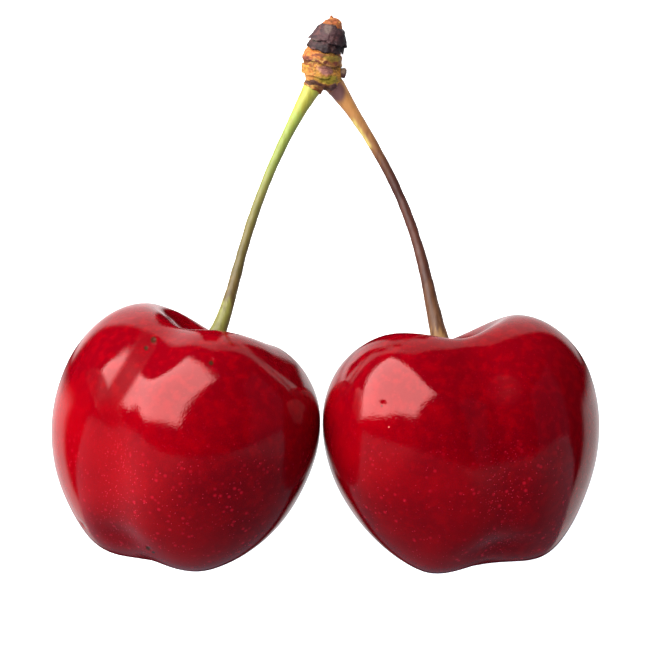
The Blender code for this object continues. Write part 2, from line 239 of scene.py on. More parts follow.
# Dents and (below zero) swellings, from each cherry's middle as grown: (x, y, z), depth, reach.
LEFT_MARKS = (
    ((-2.97, -5.73, 10.10), 0.10, 0.70), ((-3.72, -6.53, 9.46), 0.08, 0.50),
    ((2.99, -9.60, 8.41), 0.06, 0.45), ((-3.61, -7.60, -11.29), 0.08, 0.60),
    ((-10.58, -3.05, -9.59), 0.12, 0.80), ((-7.50, 0.00, -12.50), -0.40, 7.00),
    ((12.06, 0.00, -6.20), 0.25, 6.00),
)
RIGHT_MARKS = (
    ((-8.39, -10.46, 4.41), 0.10, 0.90), ((-11.02, -9.31, 1.60), 0.05, 0.50),
    ((9.20, 0.00, -11.80), -0.40, 7.50), ((-9.07, 0.00, 9.95), 0.30, 6.00),
)
# Corky spots on the skins, as grown: (x, y, z) and radius.
CORKY_SPOTS = (
    ((-17.63, -5.73, -0.75), 0.30), ((-18.38, -6.53, -1.49), 0.20), ((-11.61, -10.30, -2.45), 0.22),
    ((-18.27, -7.60, -22.24), 0.26), ((-17.70, -7.73, -22.64), 0.18), ((5.80, -10.40, -6.85), 0.12),
)
PALE_SPOTS = (((6.55, -11.37, -8.90), 0.12),)

# Colours up each stalk, from its foot to the spur.
GREEN_ALONG = (
    (0.00, "#646029"), (0.14, "#5f5c29"), (0.24, "#67652d"), (0.34, "#534221"), (0.45, "#514622"),
    (0.58, "#5c5126"), (0.70, "#676330"), (0.80, "#6f7734"), (0.90, "#788336"), (0.97, "#918d35"),
)
RED_ALONG = (
    (0.00, "#8b7041"), (0.08, "#745534"), (0.14, "#573a25"), (0.25, "#4f301b"), (0.40, "#422115"),
    (0.60, "#432117"), (0.72, "#371810"), (0.79, "#4a2919"), (0.86, "#724a27"), (0.92, "#8c5f32"),
)
# Places, sizes and colours of the marks on the stalks, as grown.
PURPLE_PATCH = ((1.15, 6.8, 23.65), (1.05, 1.2, 1.2), "#41272c")
DARK_SPOT = ((-7.9, 3.6, 9.4), (0.22, 0.22, 0.22), "#402817")
# Colours up the spur, over its 8 mm, and stains on it: (x, y, z), size and colour.
BARK_BANDS = (
    (0.00, "#7a3c1c"), (0.07, "#8a5422"), (0.14, "#987024"), (0.24, "#946220"), (0.34, "#9a6a22"),
    (0.375, "#4e2018"), (0.40, "#4e2018"), (0.44, "#9c5a22"), (0.60, "#964c1c"), (0.82, "#7e3e18"),
    (0.93, "#804420"),
)
BARK_STAINS = (
    ((-1.75, -0.6, 4.20), (1.0, 1.6, 0.75), "#a05c22"),
    ((-0.30, -1.6, 3.75), (1.6, 1.6, 0.22), "#5a2a1a"),
    ((0.60, -1.8, 3.60), (1.2, 1.2, 0.35), "#6e5a1a"),
    ((0.50, -1.8, 1.30), (1.30, 1.2, 0.42), "#6e6010"),
    ((-1.65, -0.8, 1.55), (0.90, 1.2, 0.55), "#a4682c"),
    ((-1.20, -1.2, 0.66), (1.30, 1.6, 0.30), "#301418"),
    ((1.25, -1.4, 0.42), (0.80, 1.2, 0.50), "#482d31"),
    ((-0.10, -1.8, 2.30), (0.85, 0.9, 0.50), "#7a4c48"),
    ((0.10, -1.8, 0.35), (0.60, 0.9, 0.30), "#3a1a10"),
)
# Colours that come and go over the bark, each with its own place in the pattern.
BARK_MOTTLES = ((0.0, "#62281a"), (11.0, "#a07838"), (23.0, "#6e4018"))
DARK_MOTTLES = ((0.0, "#4e2c28"), (11.0, "#1c1014"))
DARK_BANDS = (
    (0.00, "#361c1a"), (0.50, "#361c1a"), (0.56, "#201010"), (0.64, "#3e2424"), (0.74, "#3a2224"),
    (0.82, "#321e20"), (0.90, "#3c2c28"),
)
# Painted light on the dark cap scales: (x, y, z), size and colour. The near-black patch on the
# right side, away from the key light, is painted shade, the grey patch high on the left is a
# painted highlight, and the other grey patch lies on the lower-left ledge.
DARK_SHADE_AND_SHEEN = (
    ((1.40, -0.6, 5.40), (0.80, 1.6, 1.40), "#1c0e14"),
    ((-0.55, -1.4, 6.60), (0.40, 0.8, 0.60), "#4a3a34"),
    ((-1.60, -0.8, 5.30), (0.50, 0.9, 0.22), "#463a32"),
)
STUB_BANDS = ((0.00, "#3e2220"), (1.00, "#3e2220"))
STUB_STAINS = (((1.75, -0.6, 2.45), (0.35, 0.6, 0.32), "#5a4636"),)

# Grains of the patterns, per millimetre. The skin's pores are about 0.03 mm wide and a stalk's
# ribs 0.1 mm, too fine to show, so both are drawn coarser.
RIPENESS_GRAIN = 0.16
MARBLING_GRAIN = 1.1
CLUSTER_GRAIN = 0.30
BLOT_GRAIN = 1.1
# Pale specks of the skin: how many per millimetre, and their size in that pattern.
LENTICELS = ((2.2, 0.125), (3.2, 0.18))
PORE_GRAIN = 4.6
RIB_GRAIN = (2.6, 2.6, 0.30)
RIB_DEPTH = 0.05
MOTTLE_GRAIN = 0.9
FLAKE_GRAIN = (2.2, 2.2, 5.0)
FLAKE_DEPTH = 0.08
# Skin that is rubbed or shrunken: its roughness and what is left of its shine.
DULL_ROUGHNESS = 0.26
DULL_SHINE = 0.05

# Dim parts of the lit floor behind the cherries, as grown: from x, to x, from z and up to z.
FLOOR_SHADES = ((-15.5, -7.5, 0.8, 34.0), (1.4, 13.0, -2.4, 18.0))

# The stage, in metres as grown. A softbox is its middle, its directions across and up, its
# width and its height.
KEY_SOFTBOX = (
    (-0.1157, -0.1465, 0.1305), (0.528, -0.812, 0.146), (0.637, 0.512, 0.579), 0.3535, 0.2708,
)
SIDE_SOFTBOX = ((0.25, -0.12, 0.08), (0.0, 1.0, 0.0), (0.0, 0.0, 1.0), 0.26, 0.34)
FLOOR_SIZE = 6.0
CARD_SIZE = (1.3, 0.150)
CARD_PLACE = (0.0, -0.063, -0.034)
# The camera looks down on the fronts by so many degrees, and sees this width at the middle.
CAMERA_TIP = 8.0
SEEN_WIDTH = 0.0676
SENSOR_WIDTH = 36.0


def linear(code):
    """An sRGB hex colour as linear red, green, blue and alpha."""
    parts = [int(code[i:i + 2], 16) / 255.0 for i in (1, 3, 5)]
    return (*[c / 12.92 if c <= 0.04045 else ((c + 0.055) / 1.055) ** 2.4 for c in parts], 1.0)


def spur_place():
    """The spur's own upright axis, in its leaning place above the fork."""
    lean = Matrix.Rotation(math.radians(SPUR_LEAN), 4, "Y")
    return Matrix.Translation(Vector(SPUR_FOOT) * MM) @ lean


def up_the_spur(rows, height):
    """The value at this height, between rows of (height, value)."""
    return np.interp(height, *np.transpose(rows))



def stub_out():
    """The way the stub points, out of the side of the spur."""
    angle = math.radians(STUB_TURN)
    return Vector((math.cos(angle), math.sin(angle), 0.0))


def stub_centre():
    """The middle of the stub, on the spur's own axes."""
    reach = float(up_the_spur(SPUR_PROFILE, STUB_HEIGHT)) + STUB_GAP + STUB_SIZE[2]
    aside = float(up_the_spur(SPUR_BOW, STUB_HEIGHT))
    return stub_out() * reach + Vector((aside, 0.0, STUB_HEIGHT))


def lying_place():
    """The move from how the pair grew to how it lies: the stub's solid tells where that is."""
    turn = Euler([math.radians(angle) for angle in LAY_TURN]).to_matrix().to_4x4()
    low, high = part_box("side_stub")
    stub = spur_place() @ (stub_centre() * MM)
    return Matrix.Translation((low + high) / 2 - turn @ stub) @ turn


LAID = lying_place()


# Modelling

def only(obj):
    """Makes this the one selected and active object."""
    bpy.ops.object.select_all(action="DESELECT")
    obj.select_set(True)
    bpy.context.view_layer.objects.active = obj
    return obj


def points_of(obj):
    """The places of all the shape's vertices, one row each."""
    flat = np.empty(len(obj.data.vertices) * 3)
    obj.data.vertices.foreach_get("co", flat)
    return flat.reshape(-1, 3)


def pick(obj, chosen):
    """Selects these vertices and nothing else, and opens edit mode on them."""
    only(obj)
    bpy.ops.object.mode_set(mode="EDIT")
    bpy.ops.mesh.select_mode(type="VERT")
    bpy.ops.mesh.select_all(action="DESELECT")
    bpy.ops.object.mode_set(mode="OBJECT")
    obj.data.vertices.foreach_set("select", np.asarray(chosen, dtype=bool))
    bpy.ops.object.mode_set(mode="EDIT")


SOFTLY = {"use_proportional_edit": True, "proportional_edit_falloff": "SMOOTH"}


def pull(obj, chosen, move, reach):
    """Moves these vertices by so many millimetres, and their neighbours less and less."""
    pick(obj, chosen)
    bpy.ops.transform.translate(value=Vector(move) * MM, proportional_size=reach * MM, **SOFTLY)
    bpy.ops.object.mode_set(mode="OBJECT")


def resize(obj, chosen, factor):
    """Scales these vertices about the origin."""
    pick(obj, chosen)
    bpy.ops.transform.resize(value=factor, center_override=(0.0, 0.0, 0.0))
    bpy.ops.object.mode_set(mode="OBJECT")


def swell(obj, chosen, factor, centre, reach):
    """Scales these vertices about a point, and their neighbours less and less."""
    pick(obj, chosen)
    bpy.ops.transform.resize(
        value=factor, center_override=Vector(centre) * MM, proportional_size=reach * MM, **SOFTLY
    )
    bpy.ops.object.mode_set(mode="OBJECT")


def finish_with(obj, kind, **settings):
    """Adds a modifier with these settings and applies it."""
    only(obj)
    modifier = obj.modifiers.new(kind.lower(), kind)
    for key, value in settings.items():
        setattr(modifier, key, value)
    bpy.ops.object.modifier_apply(modifier=modifier.name)


def roughen(obj, name, grain, height):
    """Raises and lowers the surface with a cloudy pattern of this grain, in millimetres."""
    cloud = bpy.data.textures.get(name) or bpy.data.textures.new(name, "CLOUDS")
    cloud.noise_scale = grain * MM
    cloud.noise_depth = 2
    finish_with(
        obj, "DISPLACE", texture=cloud, texture_coords="LOCAL",
        strength=height * MM, mid_level=0.5,
    )


def settle(obj, place):
    """Puts the shape in its place and leaves the object itself at the origin, unturned."""
    only(obj)
    obj.matrix_world = place
    bpy.ops.object.transform_apply(location=True, rotation=True, scale=True)


def tell(obj, name, values):
    """Keeps a number for every vertex, for the finish to read."""
    kept = obj.data.attributes.new(name, "FLOAT", "POINT")
    kept.data.foreach_set("value", np.asarray(values, dtype=float))


def as_grown(obj):
    """The vertices of a laid shape, in millimetres as it grew."""
    back = np.array(LAID.inverted())
    return (points_of(obj) @ back[:3, :3].T + back[:3, 3]) / MM


def eased(value, low, high):
    """0 below one value and 1 above the other, with a smooth rise between them."""
    share = np.clip((value - low) / (high - low), 0.0, 1.0)
    return share * share * (3.0 - 2.0 * share)


def line_gap(points, begin, end):
    """How far points of a plane are from a line between two others."""
    along = end - begin
    share = np.clip((points - begin) @ along / (along @ along), 0.0, 1.0)
    return np.linalg.norm(points - begin - share[:, None] * along, axis=1)


def hand_over(obj, name, look, solid):
    """Names the finished piece, gives it its finish, and has it stand for its solid."""
    obj.name = name
    obj.data.name = name
    obj.data.materials.clear()
    obj.data.materials.append(look)
    only(obj)
    bpy.ops.object.shade_smooth()
    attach(obj, "root")
    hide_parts(solid)


# Finishes

SMOOTH = {"interpolation_type": "SMOOTHSTEP"}
COLOURS = {"data_type": "RGBA", "out": 2}


def node(tree, kind, inputs=(), out=0, stops=(), **settings):
    """Adds a node with its settings, gives its inputs values or links, and returns an output."""
    made = tree.nodes.new("ShaderNode" + kind)
    for key, value in settings.items():
        setattr(made, key, value)
    for key, value in dict(inputs).items():
        if isinstance(value, bpy.types.NodeSocket):
            tree.links.new(value, made.inputs[key])
        else:
            made.inputs[key].default_value = value
    for number, (place, code) in enumerate(stops):
        if number >= 2:
            made.color_ramp.elements.new(place)
        made.color_ramp.elements[number].position = place
        made.color_ramp.elements[number].color = linear(code)
    return made.outputs[out] if made.outputs else made


def new_finish(name):
    """A material without nodes, and its tree."""
    made = bpy.data.materials.new(name)
    made.use_nodes = True
    made.node_tree.nodes.clear()
    return made, made.node_tree


def grown_coordinates(tree, place):
    """Object coordinates turned into those of a place, in millimetres."""
    back = place.inverted()
    return node(
        tree, "Mapping",
        {
            "Vector": node(tree, "TexCoord", out="Object"),
            "Location": back.translation / MM,
            "Rotation": back.to_euler(),
            "Scale": (1.0 / MM,) * 3,
        },
    )


def overlaid(tree, colour, where, laid_patch, soft, most=1.0):
    """The colour with a patch laid over it, such as a stain, a painted shade or a painted
    highlight: the patch's middle, size and own colour.
    """
    middle, size, own = laid_patch
    apart = node(tree, "VectorMath", {0: where, 1: middle}, operation="SUBTRACT")
    apart = node(tree, "VectorMath", {0: apart, 1: size}, operation="DIVIDE")
    apart = node(tree, "VectorMath", {0: apart}, out="Value", operation="LENGTH")
    share = node(
        tree, "MapRange", {0: apart, 1: 1.0 + soft, 2: 1.0 - soft, 3: 0.0, 4: most}, **SMOOTH
    )
    return node(tree, "Mix", {0: share, 6: colour, 7: linear(own)}, **COLOURS)


def fenced(tree, amount, *edges):
    """The amount kept to one side of soft edges: (value, where none is left, where all is)."""
    for value, none, full in edges:
        part = node(tree, "MapRange", {0: value, 1: none, 2: full}, **SMOOTH)
        amount = node(tree, "Math", {0: amount, 1: part}, operation="MULTIPLY")
    return amount


def skin_finish(settings):
    """Skin of a ripe sweet cherry: a taut waxy cuticle, grown over red flesh.

    The wax makes it glossy, and its pores leave the edges of a highlight stippled. The pale
    specks are lenticels, 0.1 mm wide. Skin that is rubbed or shrunken mirrors less.
    """
    made, tree = new_finish("cherry_cuticle")
    where = grown_coordinates(tree, LAID)
    ripe_and_shaded, groove, lower, dull = [
        node(tree, "Attribute", out="Fac", attribute_name=name)
        for name in ("ripe_and_shaded", "groove", "lower", "dull")
    ]
    bright, deep, blot_red, lenticel = [
        (*colour, 1.0) for colour in (
            settings.bright_red, settings.deep_red, settings.blot_red, settings.lenticel,
        )
    ]

    broad = node(tree, "TexNoise", {"Vector": where, "Scale": RIPENESS_GRAIN, "Detail": 3.0})
    # The darkness runs from bright red to deep red with the ripeness and with the painted shade on
    # each cherry's right side that it carries.
    depth = node(tree, "Math", {0: broad, 1: ripe_and_shaded}, operation="ADD")
    depth = node(tree, "MapRange", {0: depth, 1: 0.55, 2: 1.35}, **SMOOTH)
    flesh = node(tree, "Mix", {0: depth, 6: bright, 7: deep}, **COLOURS)
    fine = node(tree, "TexNoise", {"Vector": where, "Scale": MARBLING_GRAIN, "Detail": 4.0})
    fine = node(tree, "MapRange", {0: fine, 1: 0.42, 2: 0.72, 3: 0.0, 4: 0.40}, **SMOOTH)
    flesh = node(tree, "Mix", {0: fine, 6: flesh, 7: bright}, **COLOURS)

    patchy = node(tree, "TexNoise", {"Vector": where, "Scale": CLUSTER_GRAIN, "Detail": 2.0})
    patchy = node(tree, "MapRange", {0: patchy, 1: 0.35, 2: 0.60}, **SMOOTH)
    dense = node(tree, "Math", {0: lower, 1: patchy}, operation="MULTIPLY")
    blots = node(tree, "TexVoronoi", {"Vector": where, "Scale": BLOT_GRAIN})
    blots = node(tree, "MapRange", {0: blots, 1: 0.30, 2: 0.08, 3: 0.0, 4: 0.55}, **SMOOTH)
    blots = node(tree, "Math", {0: blots, 1: dense}, operation="MULTIPLY")
    flesh = node(tree, "Mix", {0: blots, 6: flesh, 7: blot_red}, **COLOURS)
    scattered = node(tree, "MapRange", {0: dense, 1: 0.0, 2: 0.6, 3: 0.20, 4: 1.0})
    for (grain, size), share in zip(LENTICELS, (scattered, groove)):
        specks = node(tree, "TexVoronoi", {"Vector": where, "Scale": grain})
        specks = node(tree, "MapRange", {0: specks, 1: size, 2: 0.5 * size}, **SMOOTH)
        specks = node(tree, "Math", {0: specks, 1: share}, operation="MULTIPLY")
        specks = node(tree, "Math", {0: specks, 1: 0.85}, operation="MULTIPLY")
        flesh = node(tree, "Mix", {0: specks, 6: flesh, 7: lenticel}, **COLOURS)
    for middle, size in CORKY_SPOTS:
        size = (size, 4.0 * size, size)
        flesh = overlaid(tree, flesh, where, (middle, size, "#2a160a"), 0.4, 0.9)
    for middle, size in PALE_SPOTS:
        flesh = overlaid(tree, flesh, where, (middle, (size,) * 3, "#c07060"), 0.3)

    pores = node(tree, "TexNoise", {"Vector": where, "Scale": PORE_GRAIN, "Detail": 2.0})
    pores = node(tree, "Bump", {"Height": pores, "Strength": 1.0, "Distance": settings.pore_depth})
    blur = node(tree, "MapRange", {0: dull, 3: settings.roughness, 4: DULL_ROUGHNESS})
    gloss = node(tree, "MapRange", {0: dull, 3: 0.5, 4: DULL_SHINE})
    shader = node(
        tree, "BsdfPrincipled",
        {
            "Base Color": flesh, "Normal": pores, "Roughness": blur, "IOR": 1.46,
            "Specular IOR Level": gloss,
            "Subsurface Weight": 0.12, "Subsurface Radius": (1.0, 0.12, 0.08),
            "Subsurface Scale": 1.2 * MM, "Specular Tint": (1.0, 0.385, 0.37, 1.0),
        },
    )
    node(tree, "OutputMaterial", {"Surface": shader})
    return made


def stalk_finish(name, stops, flank):
    """Skin of a cherry stalk: drawn out into lengthwise ribs as it grew, and hardly glossy.

    Its colour runs from the foot up to the spur. Its left flank has its own over a part of
    the length: from, up to and the colour.
    """
    made, tree = new_finish(name)
    where = grown_coordinates(tree, LAID)
    along = node(tree, "Attribute", out="Fac", attribute_name="along")
    side = node(tree, "Attribute", out="Fac", attribute_name="side")
    drawn = node(tree, "Mapping", {"Vector": where, "Scale": RIB_GRAIN})
    streaks = node(tree, "TexNoise", {"Vector": drawn, "Scale": 1.0, "Detail": 4.0})
    lengthwise = node(tree, "MapRange", {0: streaks, 1: 0.3, 2: 0.7, 3: -0.05, 4: 0.05})
    lengthwise = node(tree, "Math", {0: along, 1: lengthwise}, operation="ADD")
    skin = node(tree, "ValToRGB", {0: lengthwise}, stops=stops)
    low, high, colour = flank
    share = fenced(
        tree, 1.0, (side, -0.1, -0.7), (along, low, low + 0.02), (along, high, high - 0.02)
    )
    skin = node(tree, "Mix", {0: share, 6: skin, 7: linear(colour)}, **COLOURS)
    dark = node(tree, "MapRange", {0: streaks, 1: 0.35, 2: 0.68, 3: 0.0, 4: 0.35}, **SMOOTH)
    skin = node(
        tree, "Mix", {0: dark, 6: skin, 7: linear("#6a4a34")}, blend_type="MULTIPLY", **COLOURS
    )
    skin = overlaid(tree, skin, where, PURPLE_PATCH, 0.3, 0.9)
    skin = overlaid(tree, skin, where, DARK_SPOT, 0.5, 0.8)
    ribs = node(tree, "Bump", {"Height": streaks, "Strength": 0.6, "Distance": RIB_DEPTH * MM})
    shader = node(
        tree, "BsdfPrincipled",
        {"Base Color": skin, "Roughness": 0.45, "Normal": ribs, "Specular IOR Level": 0.25},
    )
    node(tree, "OutputMaterial", {"Surface": shader})
    return made


def bark_finish(name, stops, patches, mottles, roughness):
    """Young bark or bud scales, dried until they flaked: corky, cracked and matt, in bands."""
    made, tree = new_finish(name)
    where = grown_coordinates(tree, LAID @ spur_place())
    cloud = node(tree, "TexNoise", {"Vector": where, "Scale": 1.1, "Detail": 4.0}, out="Color")
    shifted = node(
        tree, "VectorMath", {0: cloud, 1: (0.9, 0.9, 0.9), 2: where}, operation="MULTIPLY_ADD"
    )
    shifted = node(tree, "VectorMath", {0: shifted, 1: (-0.45, -0.45, -0.45)}, operation="ADD")
    height = node(tree, "SeparateXYZ", {0: shifted}, out=2)
    height = node(tree, "MapRange", {0: height, 1: 0.0, 2: 8.0})
    bark = node(tree, "ValToRGB", {0: height}, stops=stops)
    for shift, colour in mottles:
        patchy = node(tree, "Mapping", {"Vector": where, "Location": (shift, shift, shift)})
        patchy = node(
            tree, "TexNoise",
            {"Vector": patchy, "Scale": MOTTLE_GRAIN, "Detail": 3.0, "Distortion": 1.2},
        )
        patchy = node(tree, "MapRange", {0: patchy, 1: 0.52, 2: 0.64, 3: 0.0, 4: 0.75}, **SMOOTH)
        bark = node(tree, "Mix", {0: patchy, 6: bark, 7: linear(colour)}, **COLOURS)
    # Stains, and on the dark scales a painted shade and a painted highlight, laid over the bark.
    for laid_patch in patches:
        bark = overlaid(tree, bark, shifted, laid_patch, 0.3, 0.9)
    flakes = node(tree, "Mapping", {"Vector": where, "Scale": FLAKE_GRAIN})
    flakes = node(tree, "TexNoise", {"Vector": flakes, "Scale": 1.0, "Detail": 5.0})
    dark = node(tree, "MapRange", {0: flakes, 1: 0.44, 2: 0.66, 3: 0.0, 4: 0.5}, **SMOOTH)
    bark = node(
        tree, "Mix", {0: dark, 6: bark, 7: linear("#6e4038")}, blend_type="MULTIPLY", **COLOURS
    )
    rough = node(tree, "Bump", {"Height": flakes, "Strength": 0.8, "Distance": FLAKE_DEPTH * MM})
    shader = node(
        tree, "BsdfPrincipled",
        {"Base Color": bark, "Roughness": roughness, "Normal": rough, "Specular IOR Level": 0.2},
    )
    node(tree, "OutputMaterial", {"Surface": shader})
    return made


def floor_finish(settings):
    """Matt acrylic sheet, lit from below, so that it is white with hardly a shadow.

    What a glossy skin mirrors of it, in millimetres as grown, is a tall strip behind each
    cherry with its shades, a pale patch between them and the table at both sides.
    """
    made, tree = new_finish("lit_acrylic_floor")
    pale = node(
        tree, "BsdfPrincipled",
        {
            "Base Color": linear("#e6e6e6"), "Roughness": 0.9, "Specular IOR Level": 0.0,
            "Emission Color": linear("#ffffff"), "Emission Strength": settings.floor_glow,
        },
    )
    where = grown_coordinates(tree, LAID)
    x, z = [node(tree, "SeparateXYZ", {0: where}, out=axis) for axis in (0, 2)]
    side = node(tree, "Math", {0: x}, operation="ABSOLUTE")
    leaning = node(tree, "Math", {0: z, 1: 0.2, 2: side}, operation="MULTIPLY_ADD")
    strip = node(tree, "MapRange", {0: x, 1: -8.0, 2: 0.0, 3: 1.3, 4: 0.8}, **SMOOTH)
    strip = fenced(tree, strip, (leaning, 35.0, 32.0), (z, -3.5, -1.0))
    for low, high, bottom, top in FLOOR_SHADES:
        shade = fenced(
            tree, 1.0, (z, bottom - 0.6, bottom + 0.6), (x, low - 0.6, low + 0.6),
            (x, high + 1.0, high - 1.0), (z, top + 2.0, top - 2.0),
        )
        shade = node(tree, "Math", {0: 1.0, 1: shade}, operation="SUBTRACT")
        strip = node(tree, "Math", {0: strip, 1: shade}, operation="MULTIPLY")
    patch = fenced(tree, 0.85, (side, 10.0, 6.0), (z, -1.5, -3.5), (z, -32.0, -27.0))
    table = node(tree, "MapRange", {0: x, 1: -10.0, 2: 10.0, 3: 1.1, 4: 0.9}, **SMOOTH)
    table = fenced(tree, table, (side, 25.0, 34.0), (side, 62.0, 50.0), (z, -3.0, -8.0))
    lit = node(tree, "Math", {0: strip, 1: patch}, operation="MAXIMUM")
    lit = node(tree, "Math", {0: lit, 1: table}, operation="MAXIMUM")
    mirrored = node(tree, "Emission", {"Strength": lit})
    seen = node(tree, "LightPath", out="Is Glossy Ray")
    both = node(tree, "MixShader", {0: seen, 1: pale, 2: mirrored})
    node(tree, "OutputMaterial", {"Surface": both})
    return made


def card_finish(settings):
    """White card past the tips, a sheet that glows by itself: bright at both sides, with the
    cherries' shadow painted between.
    """
    made, tree = new_finish("white_card")
    x = node(tree, "SeparateXYZ", {0: grown_coordinates(tree, LAID)}, out=0)
    left, right = [
        node(tree, "MapRange", {0: x, 1: dim, 2: full, 3: settings.card_shade, 4: most}, **SMOOTH)
        for dim, full, most in ((0.0, -60.0, settings.card_left), (25.0, 90.0, settings.card_right))
    ]
    glow = node(tree, "Math", {0: left, 1: right}, operation="MAXIMUM")
    seen = node(tree, "LightPath", out="Is Glossy Ray")
    glow = node(tree, "MapRange", {0: seen, 3: settings.card_bounce, 4: glow})
    lit = node(tree, "Emission", {"Color": linear("#d0e8ff"), "Strength": glow})
    node(tree, "OutputMaterial", {"Surface": lit})
    return made


# Pieces

def heart(size):
    """A sphere stretched, tapered, saddled and seamed into a heart, upright round its middle."""
    bpy.ops.object.select_all(action="DESELECT")
    bpy.ops.mesh.primitive_uv_sphere_add(segments=FRUIT_SEGMENTS, ring_count=FRUIT_RINGS, radius=MM)
    obj = bpy.context.object
    unit = points_of(obj) / MM
    polar = np.degrees(np.arccos(np.clip(unit[:, 2], -1.0, 1.0)))
    middle = np.abs(unit[:, 0]) < NEAR
    in_front = middle & (unit[:, 1] < NEAR)
    resize(obj, np.ones(len(unit)), size["half"])

    height = size["half"][2]
    wide, deep = size["taper"]
    swell(obj, polar > 179.5, (1.0 - wide, 1.0 - deep, 1.0), (0, 0, -height), 2.0 * height)
    angle = math.radians(SHOULDER_ANGLE)
    for side, drop in zip((-1.0, 1.0), size["shoulders"]):
        wanted = np.array([side * math.sin(angle), 0.0, math.cos(angle)])
        shoulder = np.linalg.norm(unit - wanted, axis=1) < 1e-3
        pull(obj, shoulder, (0, 0, drop), size["shoulder_reach"])
    for part, chosen, way in (
        ("saddle", middle & (polar <= SADDLE_END), (0, 0, -1)),
        ("seam", in_front & (polar >= SEAM_START) & (polar <= SEAM_END), (0, 1, 0)),
        ("apex", in_front & (polar >= APEX_START), (0, 0, 1)),
        ("cavity", polar < 0.5, (0, 0, -1)),
    ):
        depth, reach = size[part]
        pull(obj, chosen, Vector(way) * depth, reach)

    finish_with(obj, "SUBSURF", levels=2, render_levels=2)
    for around, down, depth in size["presses"]:
        around, down = math.radians(around), math.radians(down)
        out = Vector((
            math.sin(around) * math.sin(down), -math.cos(around) * math.sin(down), math.cos(down),
        ))
        near = np.full(len(obj.data.vertices), 9.0)
        near[:len(unit)] = np.linalg.norm(unit - np.array(out), axis=1)
        pull(obj, near < near.min() + NEAR, -out * depth, PRESS_REACH)
    finish_with(obj, "SUBSURF", levels=1, render_levels=1)
    resize(obj, np.ones(len(obj.data.vertices)), (SMOOTHING_LOSS,) * 3)
    return obj


def tell_skin(obj, size, grown, own):
    """Tells the skin's finish what it needs, from the points as grown and as the fruit stands."""
    # Painted shade: the skin is darker red towards each cherry's right side, away from the key
    # light. It is also darker towards the top.
    ripe_and_shaded = size["ripe_and_shaded"] + 0.42 * eased(grown[:, 0], -9.0, 13.0)
    tell(obj, "ripe_and_shaded", ripe_and_shaded + 0.45 * eased(grown[:, 2], 3.0, 8.0))
    aside = np.abs(own[:, 0])
    groove = eased(-own[:, 1], 2.0, 5.0) * eased(-aside, -3.2, -0.8)
    tell(obj, "groove", groove * eased(-own[:, 2], -1.0, 6.0))
    tell(obj, "lower", eased(-grown[:, 2], -3.0, 5.0))
    tip = eased(-aside, -6.5, -2.5) * eased(-own[:, 2] / size["half"][2], 0.62, 0.80)
    dull = TIP_DULLNESS * tip
    for begin, end, radius in size["dull"]:
        gap = line_gap(grown[:, (0, 2)], np.array(begin), np.array(end))
        line = 1.0 - eased(gap, 0.6 * radius, 1.1 * radius)
        dull = np.maximum(dull, line * (grown[:, 1] < 0.0))
    tell(obj, "dull", dull)


def fruit(name, solid, size, marks, look):
    """A heart-shaped sweet cherry in its place, pressed flat where it lies, with its marks."""
    obj = heart(size)
    turn = Euler([math.radians(angle) for angle in size["turn"]], "ZXY").to_matrix().to_4x4()
    settle(obj, LAID @ Matrix.Translation(Vector(size["centre"]) * MM) @ turn)
    roughen(obj, *SKIN_SWELL)
    resize(obj, points_of(obj)[:, 2] < 0.0, (1.0, 1.0, 0.0))

    grown = as_grown(obj) - np.array(size["centre"])
    for place, depth, reach in marks:
        gap = np.linalg.norm(grown - np.array(place), axis=1)
        into = LAID.to_3x3() @ -Vector(place).normalized()
        pull(obj, gap < gap.min() + 1e-6, into * depth, reach)
    tell_skin(obj, size, grown, grown @ np.array(turn.to_3x3()))
    hand_over(obj, name, look, solid)


def stalk(name, solid, size, look):
    """A thin round stalk on its curve, flared at both ends and faintly lumpy."""
    bpy.ops.object.select_all(action="DESELECT")
    bpy.ops.curve.primitive_bezier_curve_add()
    obj = bpy.context.object
    first, second = obj.data.splines[0].bezier_points
    begin, leave, arrive, end = [Vector(point) * MM for point in size["curve"]]
    for knot, before, at, after in (
        (first, 2 * begin - leave, begin, leave), (second, arrive, end, 2 * end - arrive),
    ):
        knot.handle_left_type = knot.handle_right_type = "FREE"
        knot.handle_left, knot.co, knot.handle_right = before, at, after
    bpy.ops.object.mode_set(mode="EDIT")
    bpy.ops.curve.select_all(action="SELECT")
    bpy.ops.curve.subdivide(number_cuts=STALK_CUTS)
    bpy.ops.object.mode_set(mode="OBJECT")
    knots = obj.data.splines[0].bezier_points
    for number, knot in enumerate(knots):
        along = number / (len(knots) - 1)
        foot = size["foot"][0] * (1 - along) ** size["foot"][1]
        head = size["head"][0] * along ** size["head"][1]
        knot.radius = size["radius"] + foot + head
    obj.data.resolution_u = 3
    obj.data.bevel_depth = MM
    obj.data.bevel_resolution = 10
    obj.data.use_fill_caps = True
    bpy.ops.object.convert(target="MESH")
    obj = bpy.context.object
    settle(obj, LAID)

    share = np.linspace(0.0, 1.0, STALK_STATIONS)[:, None]
    weights = np.hstack([
        (1 - share) ** 3, 3 * share * (1 - share) ** 2, 3 * share**2 * (1 - share), share**3
    ])
    middle = weights @ np.array(size["curve"])
    grown = as_grown(obj)
    gap = np.linalg.norm(grown[:, None, :] - middle[None, :, :], axis=2)
    nearest = gap.argmin(axis=1)
    tell(obj, "along", share[nearest, 0])
    aside = grown[:, 0] - middle[nearest, 0]
    tell(obj, "side", aside / np.maximum(gap.min(axis=1), 0.2))
    roughen(obj, *STALK_LUMPS)
    hand_over(obj, name, look, solid)


def bow(obj):
    """Shifts the points of a straight spur aside, as it has bowed in growing."""
    points = points_of(obj)
    points[:, 0] += up_the_spur(SPUR_BOW, points[:, 2] / MM) * MM
    obj.data.vertices.foreach_set("co", points.ravel())


